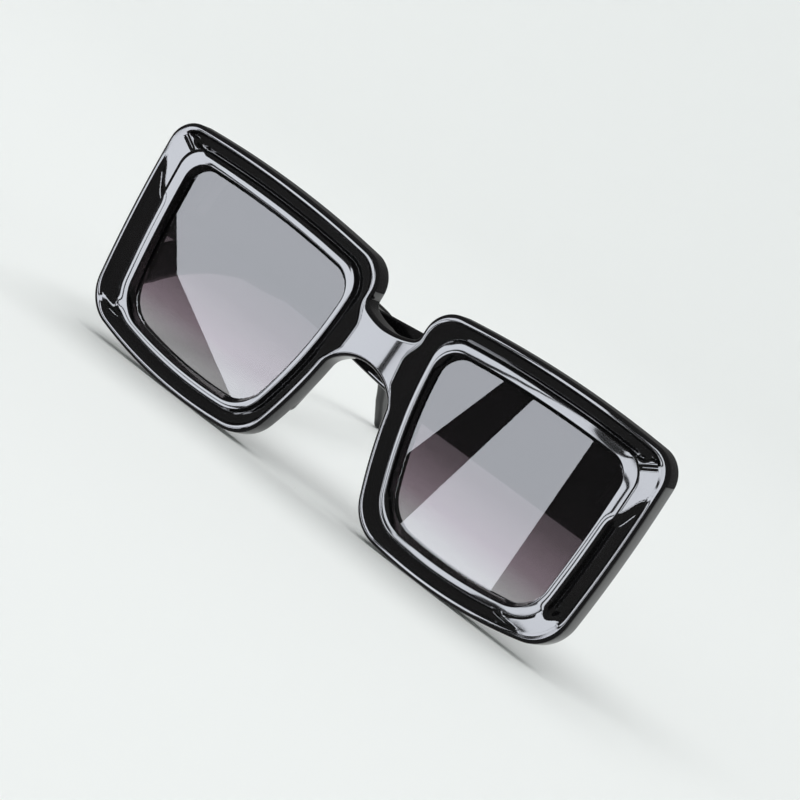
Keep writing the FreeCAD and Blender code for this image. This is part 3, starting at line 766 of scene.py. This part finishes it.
# Materials: sizes of the plastic's clouds and waves and of the steel's grain, which runs along the
# leaves, and the heights between which the lenses' tint changes
POLYMER_IOR = 1.58
PLASTIC_CLOUD_SIZE = 14.0
PLASTIC_WAVE_SIZE = 9.0
PLASTIC_WAVE_HEIGHT = 0.04
PLASTIC_ROUGHNESS = (0.03, 0.07)
COAT_WEIGHT = 0.8
COAT_ROUGHNESS = 0.02
TINT_BOTTOM = -24.0
TINT_TOP = 14.0
STEEL_GRAIN_SIZE = 0.12
STEEL_GRAIN_STRETCH = (1.0, 1.0, 0.06)
STEEL_ROUGHNESS = (0.22, 0.4)


def linear(hex_colour):
    """An sRGB hex colour as linear RGBA."""
    values = [int(hex_colour[i:i + 2], 16) / 255 for i in (1, 3, 5)]
    return [v / 12.92 if v <= 0.04045 else ((v + 0.055) / 1.055) ** 2.4 for v in values] + [1.0]


def add_node(tree, kind, settings=(), inputs=()):
    """A node with its settings, its values and the sockets that feed it."""
    node = tree.nodes.new(kind)
    for name, value in dict(settings).items():
        setattr(node, name, value)
    for name, value in dict(inputs).items():
        if isinstance(value, bpy.types.NodeSocket):
            tree.links.new(value, node.inputs[name])
        else:
            node.inputs[name].default_value = value
    return node


def new_material(name):
    """A material with a bare tree, and its output node."""
    material = bpy.data.materials.new(name)
    material.use_nodes = True
    material.node_tree.nodes.clear()
    return material, material.node_tree, material.node_tree.nodes.new("ShaderNodeOutputMaterial")


def set_colours(node, stops):
    """Fill a colour ramp from pairs of place and hex colour."""
    elements = node.color_ramp.elements
    while len(elements) < len(stops):
        elements.new(0.5)
    for element, (place, colour) in zip(elements, stops):
        element.position = place
        element.color = linear(colour)


def black_plastic_material():
    """Injection-moulded polycarbonate, polished: jet black with mirror-like gloss.

    The mould leaves a faint waviness a few millimetres long that makes reflections waver, and
    handling leaves a slightly uneven shine.
    """
    material, tree, output = new_material("polished_black_polycarbonate")
    place = add_node(tree, "ShaderNodeTexCoord").outputs["Object"]
    cloud = add_node(tree, "ShaderNodeTexNoise", {}, {
        "Vector": place, "Scale": 1 / (PLASTIC_CLOUD_SIZE * MM), "Detail": 3.0,
    })
    tone = add_node(tree, "ShaderNodeValToRGB", {}, {"Fac": cloud.outputs["Fac"]})
    set_colours(tone, ((0.3, "#070708"), (0.7, "#0c0c0d")))
    shine = add_node(tree, "ShaderNodeMapRange", {}, {
        "Value": cloud.outputs["Fac"], "To Min": PLASTIC_ROUGHNESS[0], "To Max": PLASTIC_ROUGHNESS[1],
    })
    wave = add_node(tree, "ShaderNodeTexNoise", {}, {
        "Vector": place, "Scale": 1 / (PLASTIC_WAVE_SIZE * MM), "Detail": 1.0,
    })
    bump = add_node(tree, "ShaderNodeBump", {}, {
        "Height": wave.outputs["Fac"], "Strength": 1.0, "Distance": PLASTIC_WAVE_HEIGHT * MM,
    })
    shader = add_node(tree, "ShaderNodeBsdfPrincipled", {}, {
        "Base Color": tone.outputs["Color"], "Roughness": shine.outputs["Result"],
        "Normal": bump.outputs["Normal"], "IOR": POLYMER_IOR,
        "Coat Weight": COAT_WEIGHT, "Coat Roughness": COAT_ROUGHNESS,
    })
    tree.links.new(shader.outputs["BSDF"], output.inputs["Surface"])
    return material


def lens_material():
    """Dip-tinted acrylic: smoke grey at the top, rosy in the middle and nearly clear at the bottom."""
    material, tree, output = new_material("gradient_tinted_acrylic")
    place = add_node(tree, "ShaderNodeTexCoord").outputs["Object"]
    height = add_node(tree, "ShaderNodeSeparateXYZ", {}, {"Vector": place}).outputs["Z"]
    share = add_node(tree, "ShaderNodeMapRange", {}, {
        "Value": height, "From Min": TINT_BOTTOM * MM, "From Max": TINT_TOP * MM,
    })
    tint = add_node(tree, "ShaderNodeValToRGB", {}, {"Fac": share.outputs["Result"]})
    set_colours(tint, (
        (0.0, "#a9a7a9"), (0.2, "#80717a"), (0.45, "#564b51"), (0.7, "#3d393d"), (1.0, "#333135"),
    ))
    shader = add_node(tree, "ShaderNodeBsdfPrincipled", {}, {
        "Base Color": tint.outputs["Color"], "Roughness": 0.0, "IOR": POLYMER_IOR,
        "Transmission Weight": 1.0,
    })
    clear = add_node(tree, "ShaderNodeBsdfTransparent", {}, {"Color": tint.outputs["Color"]})
    light_path = add_node(tree, "ShaderNodeLightPath")
    both = add_node(tree, "ShaderNodeMixShader", {}, {"Fac": light_path.outputs["Is Shadow Ray"]})
    tree.links.new(shader.outputs["BSDF"], both.inputs[1])
    tree.links.new(clear.outputs["BSDF"], both.inputs[2])
    tree.links.new(both.outputs["Shader"], output.inputs["Surface"])
    return material


def steel_material():
    """Nickel-plated hinge steel, brushed: grey metal with fine scratches along the leaf."""
    material, tree, output = new_material("brushed_nickel_steel")
    place = add_node(tree, "ShaderNodeTexCoord").outputs["Object"]
    drawn = add_node(tree, "ShaderNodeMapping", {}, {"Vector": place, "Scale": STEEL_GRAIN_STRETCH})
    grain = add_node(tree, "ShaderNodeTexNoise", {}, {
        "Vector": drawn.outputs["Vector"], "Scale": 1 / (STEEL_GRAIN_SIZE * MM), "Detail": 2.0,
    })
    tone = add_node(tree, "ShaderNodeValToRGB", {}, {"Fac": grain.outputs["Fac"]})
    set_colours(tone, ((0.3, "#9d9c98"), (0.7, "#c6c5c1")))
    shine = add_node(tree, "ShaderNodeMapRange", {}, {
        "Value": grain.outputs["Fac"], "To Min": STEEL_ROUGHNESS[0], "To Max": STEEL_ROUGHNESS[1],
    })
    shader = add_node(tree, "ShaderNodeBsdfPrincipled", {}, {
        "Base Color": tone.outputs["Color"], "Roughness": shine.outputs["Result"], "Metallic": 1.0,
    })
    tree.links.new(shader.outputs["BSDF"], output.inputs["Surface"])
    return material


def rivet_tree(material):
    """A node tree that puts a countersunk rivet with a low dome at each point, turned to an axis.

    The dome, the head's cone, the shank and its foot are open skins that are welded into one.
    """
    tree = bpy.data.node_groups.new("hinge_rivets", "GeometryNodeTree")
    tree.interface.new_socket("Geometry", in_out="INPUT", socket_type="NodeSocketGeometry")
    for name, value in (
        ("Shank Radius", RIVET_RADIUS),
        ("Head Radius", RIVET_HEAD_RADIUS),
        ("Head Height", RIVET_HEAD_HEIGHT),
        ("Dome Height", RIVET_DOME),
        ("Grip", RIVET_GRIP),
    ):
        socket = tree.interface.new_socket(name, in_out="INPUT", socket_type="NodeSocketFloat")
        socket.default_value = value * MM
    tree.interface.new_socket("Axis", in_out="INPUT", socket_type="NodeSocketVector")
    tree.interface.new_socket("Geometry", in_out="OUTPUT", socket_type="NodeSocketGeometry")
    given = add_node(tree, "NodeGroupInput").outputs
    shank_length = add_node(tree, "ShaderNodeMath", {"operation": "SUBTRACT"}, {
        0: given["Grip"], 1: given["Head Height"],
    })
    shank_middle = add_node(tree, "ShaderNodeMath", {"operation": "MULTIPLY_ADD"}, {
        0: shank_length.outputs[0], 1: 0.5, 2: given["Head Height"],
    })
    shank = add_node(tree, "GeometryNodeMeshCylinder", {"fill_type": "NONE"}, {
        "Vertices": RIVET_STEPS, "Radius": given["Shank Radius"], "Depth": shank_length.outputs[0],
    })
    disc = add_node(tree, "GeometryNodeMeshCircle", {"fill_type": "NGON"}, {
        "Vertices": RIVET_STEPS, "Radius": given["Shank Radius"],
    })
    foot = add_node(tree, "GeometryNodeFlipFaces", {}, {"Mesh": disc.outputs["Mesh"]})
    head = add_node(tree, "GeometryNodeMeshCone", {"fill_type": "NONE"}, {
        "Vertices": RIVET_STEPS, "Radius Top": given["Head Radius"],
        "Radius Bottom": given["Shank Radius"], "Depth": given["Head Height"],
    })
    ball = add_node(tree, "GeometryNodeMeshUVSphere", {}, {
        "Segments": RIVET_STEPS, "Rings": RIVET_STEPS // 2, "Radius": given["Head Radius"],
    })
    position = add_node(tree, "GeometryNodeInputPosition")
    height = add_node(tree, "ShaderNodeSeparateXYZ", {}, {"Vector": position.outputs["Position"]})
    cut = add_node(tree, "ShaderNodeMath", {"operation": "MULTIPLY"}, {
        0: given["Head Radius"], 1: RIVET_BALL_CUT,
    })
    below = add_node(tree, "ShaderNodeMath", {"operation": "LESS_THAN"}, {
        0: height.outputs["Z"], 1: cut.outputs[0],
    })
    half_ball = add_node(tree, "GeometryNodeDeleteGeometry", {}, {
        "Geometry": ball.outputs["Mesh"], "Selection": below.outputs[0],
    })
    flatness = add_node(tree, "ShaderNodeMath", {"operation": "DIVIDE"}, {
        0: given["Dome Height"], 1: given["Head Radius"],
    })
    flat = add_node(tree, "ShaderNodeCombineXYZ", {}, {"X": 1.0, "Y": 1.0, "Z": flatness.outputs[0]})
    dome = add_node(tree, "GeometryNodeTransform", {}, {
        "Geometry": half_ball.outputs["Geometry"], "Scale": flat.outputs["Vector"],
    })
    joined = add_node(tree, "GeometryNodeJoinGeometry")
    tree.links.new(dome.outputs["Geometry"], joined.inputs["Geometry"])
    for part, depth in (
        (shank, shank_middle.outputs[0]),
        (foot, given["Grip"]),
        (head, given["Head Height"]),
    ):
        down = add_node(tree, "ShaderNodeMath", {"operation": "MULTIPLY"}, {0: depth, 1: -1.0})
        place = add_node(tree, "ShaderNodeCombineXYZ", {}, {"Z": down.outputs[0]})
        sunk = add_node(tree, "GeometryNodeTransform", {}, {
            "Geometry": part.outputs["Mesh"], "Translation": place.outputs["Vector"],
        })
        tree.links.new(sunk.outputs["Geometry"], joined.inputs["Geometry"])
    rivet = add_node(tree, "GeometryNodeMergeByDistance", {}, {
        "Geometry": joined.outputs["Geometry"], "Distance": WELD * MM,
    })
    smooth = add_node(tree, "GeometryNodeSetShadeSmooth", {}, {"Geometry": rivet.outputs["Geometry"]})
    turned = add_node(tree, "FunctionNodeAlignRotationToVector", {"axis": "Z"}, {"Vector": given["Axis"]})
    placed = add_node(tree, "GeometryNodeInstanceOnPoints", {}, {
        "Points": given["Geometry"], "Instance": smooth.outputs["Geometry"],
        "Rotation": turned.outputs["Rotation"],
    })
    real = add_node(tree, "GeometryNodeRealizeInstances", {}, {"Geometry": placed.outputs["Instances"]})
    made = add_node(tree, "GeometryNodeSetMaterial", {}, {
        "Geometry": real.outputs["Geometry"], "Material": material,
    })
    out = add_node(tree, "NodeGroupOutput")
    tree.links.new(made.outputs["Geometry"], out.inputs["Geometry"])
    return tree


def rivet_piece(tree, name, places, axis, body, replaced):
    """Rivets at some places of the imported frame, facing along an axis, as one piece."""
    points = bpy.data.meshes.new(name + "_places")
    points.from_pydata(places, [], [])
    carrier = bpy.data.objects.new(name + "_carrier", points)
    bpy.context.scene.collection.objects.link(carrier)
    modifier = carrier.modifiers.new("rivets", "NODES")
    modifier.node_group = tree
    for item in tree.interface.items_tree:
        if item.in_out == "INPUT" and item.name == "Axis":
            modifier[item.identifier] = axis
    evaluated = carrier.evaluated_get(bpy.context.evaluated_depsgraph_get())
    mesh = bpy.data.meshes.new_from_object(evaluated)
    bpy.data.objects.remove(carrier)
    mesh.name = name
    mesh.set_sharp_from_angle(angle=SHARP_ANGLE)
    piece = bpy.data.objects.new(name, mesh)
    bpy.context.scene.collection.objects.link(piece)
    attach(piece, body)
    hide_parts(replaced)


black_plastic = black_plastic_material()
tinted_acrylic = lens_material()
hinge_steel = steel_material()

finished(front_mesh(), "front", black_plastic, "front", ["front_frame"])
for side, way, fold in SIDES:
    finished(lens_mesh(way), "lens_plate_" + side, tinted_acrylic, "front", ["lens_" + side])
    finished(nose_pad_mesh(way), "nose_pad_" + side, black_plastic, "front")
    finished(end_piece_mesh(way), "end_piece_" + side, black_plastic, "front")
    finished(
        temple_mesh(way, fold), "temple_arm_" + side, black_plastic, side + "_temple",
        ["temple_" + side],
    )
rivets = rivet_tree(hinge_steel)
for side, way, fold in SIDES:
    front_places = [Vector((FRONT_RIVET_X, BUTT_Y, level)) for level in RIVET_LEVELS]
    temple_places = [Vector((TEMPLE_INNER_X, TEMPLE_RIVET_Y, level)) for level in RIVET_LEVELS]
    for part, body, places, facing, turn in (
        ("front", "front", front_places, (0, 1, 0), side_turn(way)),
        ("temple", side + "_temple", temple_places, (-1, 0, 0), side_turn(way) @ fold_turn(fold)),
    ):
        to_place = TO_PACKED @ turn
        axis = to_place.to_3x3() @ Vector(facing)
        spots = [to_place @ at for at in places]
        node = part + "_rivets_" + side
        rivet_piece(rivets, "domed_" + node, spots, axis.normalized(), body, node)

# Hinge leaves, screws and core bars keep the solids' own shapes
for name, node in frame["nodes"].items():
    if "hinge" in name or "core" in name:
        node.data.materials.clear()
        node.data.materials.append(hinge_steel)


# Camera, at the photograph's viewing angle, placed in the layout; clipping is in metres
CAMERA_AT = (312.7, -552.3, 103.1)
CAMERA_RIGHT = (0.7107, 0.4819, 0.5125)
CAMERA_UP = (-0.5210, -0.1289, 0.8438)
CAMERA_LENS = 134.95
CAMERA_SENSOR = 36.0
CAMERA_CLIP = 0.01


def place_camera():
    """Set the scene's camera where the photograph was taken from."""
    data = bpy.data.cameras.new("camera")
    data.lens = CAMERA_LENS
    data.sensor_width = CAMERA_SENSOR
    data.clip_start = CAMERA_CLIP
    camera = bpy.data.objects.new("camera", data)
    bpy.context.scene.collection.objects.link(camera)
    turned = TO_PACKED.to_3x3().normalized()
    right = (turned @ Vector(CAMERA_RIGHT)).normalized()
    up = turned @ Vector(CAMERA_UP)
    up = (up - right * up.dot(right)).normalized()
    axes = Matrix((right, up, right.cross(up))).transposed().to_4x4()
    camera.matrix_world = Matrix.Translation(TO_PACKED @ Vector(CAMERA_AT)) @ axes
    bpy.context.scene.camera = camera


# Stage, in metres: a pale floor, level in the middle and curving up all round
FLOOR_COLOUR = "#eef1f0"
FLOOR_MIDDLE = 0.0001
FLOOR_LEVEL = 0.3
FLOOR_FLAT = 1.1
FLOOR_CURVE = 1.0
FLOOR_CURVE_STEPS = 12
FLOOR_STEPS = 96

# The floor behind, which the gloss mirrors; in front it mirrors the dark room and the panels
SHEET_COLOUR = "#cfd1d0"
SHEET_X = (-1.3, 1.3)
SHEET_Y = (0.002, 1.5)
SHEET_LIFT = 0.0002


def stage_piece(name, mesh, material):
    """Put a mesh on the stage, which belongs to the picture and not to the part."""
    mesh.materials.append(material)
    piece = bpy.data.objects.new(name, mesh)
    bpy.context.scene.collection.objects.link(piece)
    return piece


def gloss_sheet(name, corners, material):
    """A flat sheet on the stage that shows in glossy surfaces only."""
    mesh = bpy.data.meshes.new(name)
    mesh.from_pydata(corners, [], [range(len(corners))])
    sheet = stage_piece(name, mesh, material)
    sheet.visible_camera = False
    sheet.visible_diffuse = False
    sheet.visible_transmission = False
    sheet.visible_shadow = False


def paper_material(name, colour):
    """Matt paper."""
    material, tree, output = new_material(name)
    shader = add_node(tree, "ShaderNodeBsdfDiffuse", {}, {"Color": linear(colour)})
    tree.links.new(shader.outputs["BSDF"], output.inputs["Surface"])
    return material


def lay_floor():
    """Lay the floor under the solids, and the sheet behind them that stands for it in the gloss."""
    ground = CAD_BOX[0][2]
    profile = [(FLOOR_MIDDLE, 0.0), (FLOOR_LEVEL, 0.0), (FLOOR_FLAT, 0.0)]
    for step in range(1, FLOOR_CURVE_STEPS + 1):
        turn = math.pi / 2 * step / FLOOR_CURVE_STEPS
        profile.append((FLOOR_FLAT + FLOOR_CURVE * math.sin(turn), FLOOR_CURVE * (1 - math.cos(turn))))
    turns = [2 * math.pi * step / FLOOR_STEPS for step in range(FLOOR_STEPS)]
    rows = []
    for radius, height in profile:
        rows.append([(radius * math.cos(turn), radius * math.sin(turn), ground + height) for turn in turns])
    work = bmesh.new()
    skin(work, rows, True)
    mesh = bpy.data.meshes.new("floor")
    work.to_mesh(mesh)
    work.free()
    mesh.shade_smooth()
    floor = stage_piece("floor", mesh, paper_material("pale_matt_paper", FLOOR_COLOUR))
    floor.visible_glossy = False
    lift = ground + SHEET_LIFT
    near, far = SHEET_Y
    left, right = SHEET_X
    corners = [(left, near, lift), (right, near, lift), (right, far, lift), (left, far, lift)]
    gloss_sheet("back_sheet", corners, paper_material("grey_matt_paper", SHEET_COLOUR))


# Four soft panels in front with dark gaps between them, which the gloss mirrors. Their corners are
# millimetres to the right of their shared middle and above it, as seen from the glasses
PANEL_CENTRE = Vector((-415.0, -778.0, -142.0))
PANEL_STRENGTH = 7.6
PANEL_COLOUR = "#f2f6ff"
PANELS = {
    "low_panel": (
        (265, 55), (205, 90), (165, 20), (150, -25), (85, -65), (5, -125), (-25, -175), (60, -180),
        (155, -120),
    ),
    "wide_panel": (
        (200, 105), (132, -5), (10, -90), (-73, 118), (-30, 145), (10, 112), (26, 74), (120, 82),
    ),
    "tall_panel": ((-105, 205), (-16, -115), (-47, -175), (-85, -150)),
    "far_panel": ((-135, 160), (-121, 115), (-125, -130), (-165, -115), (-180, 0), (-180, 90)),
}


def hang_panels():
    """Hang the panels in one plane, square to the line from their middle to the glasses."""
    material, tree, output = new_material("softbox_cloth")
    glow = add_node(tree, "ShaderNodeEmission", {}, {
        "Color": linear(PANEL_COLOUR), "Strength": PANEL_STRENGTH,
    })
    tree.links.new(glow.outputs["Emission"], output.inputs["Surface"])
    material.cycles.emission_sampling = "NONE"
    across = Vector((PANEL_CENTRE.y, -PANEL_CENTRE.x, 0)).normalized()
    rise = across.cross(PANEL_CENTRE).normalized()
    for name, corners in PANELS.items():
        places = [TO_PACKED @ (PANEL_CENTRE + across * x + rise * z) for x, z in corners]
        gloss_sheet(name, places, material)


# A wide softbox overhead, and a dim white room
OVERHEAD_SIZE = 4.0
OVERHEAD_PLACE = (-0.4, -0.4, 2.5)
OVERHEAD_POWER = 92.0
ROOM_COLOUR = "#ffffff"
ROOM_STRENGTH = 0.1


def light_studio():
    """Hang the softbox, which the gloss doesn't mirror, and light the room."""
    lamp = bpy.data.lights.new("overhead", "AREA")
    lamp.shape = "SQUARE"
    lamp.size = OVERHEAD_SIZE
    lamp.energy = OVERHEAD_POWER
    overhead = bpy.data.objects.new("overhead", lamp)
    overhead.location = OVERHEAD_PLACE
    overhead.visible_glossy = False
    bpy.context.scene.collection.objects.link(overhead)
    world = bpy.data.worlds.new("studio")
    bpy.context.scene.world = world
    world.use_nodes = True
    room = world.node_tree.nodes["Background"]
    room.inputs["Color"].default_value = linear(ROOM_COLOUR)
    room.inputs["Strength"].default_value = ROOM_STRENGTH


place_camera()
lay_floor()
hang_panels()
light_studio()
bpy.context.scene.view_settings.view_transform = "Standard"
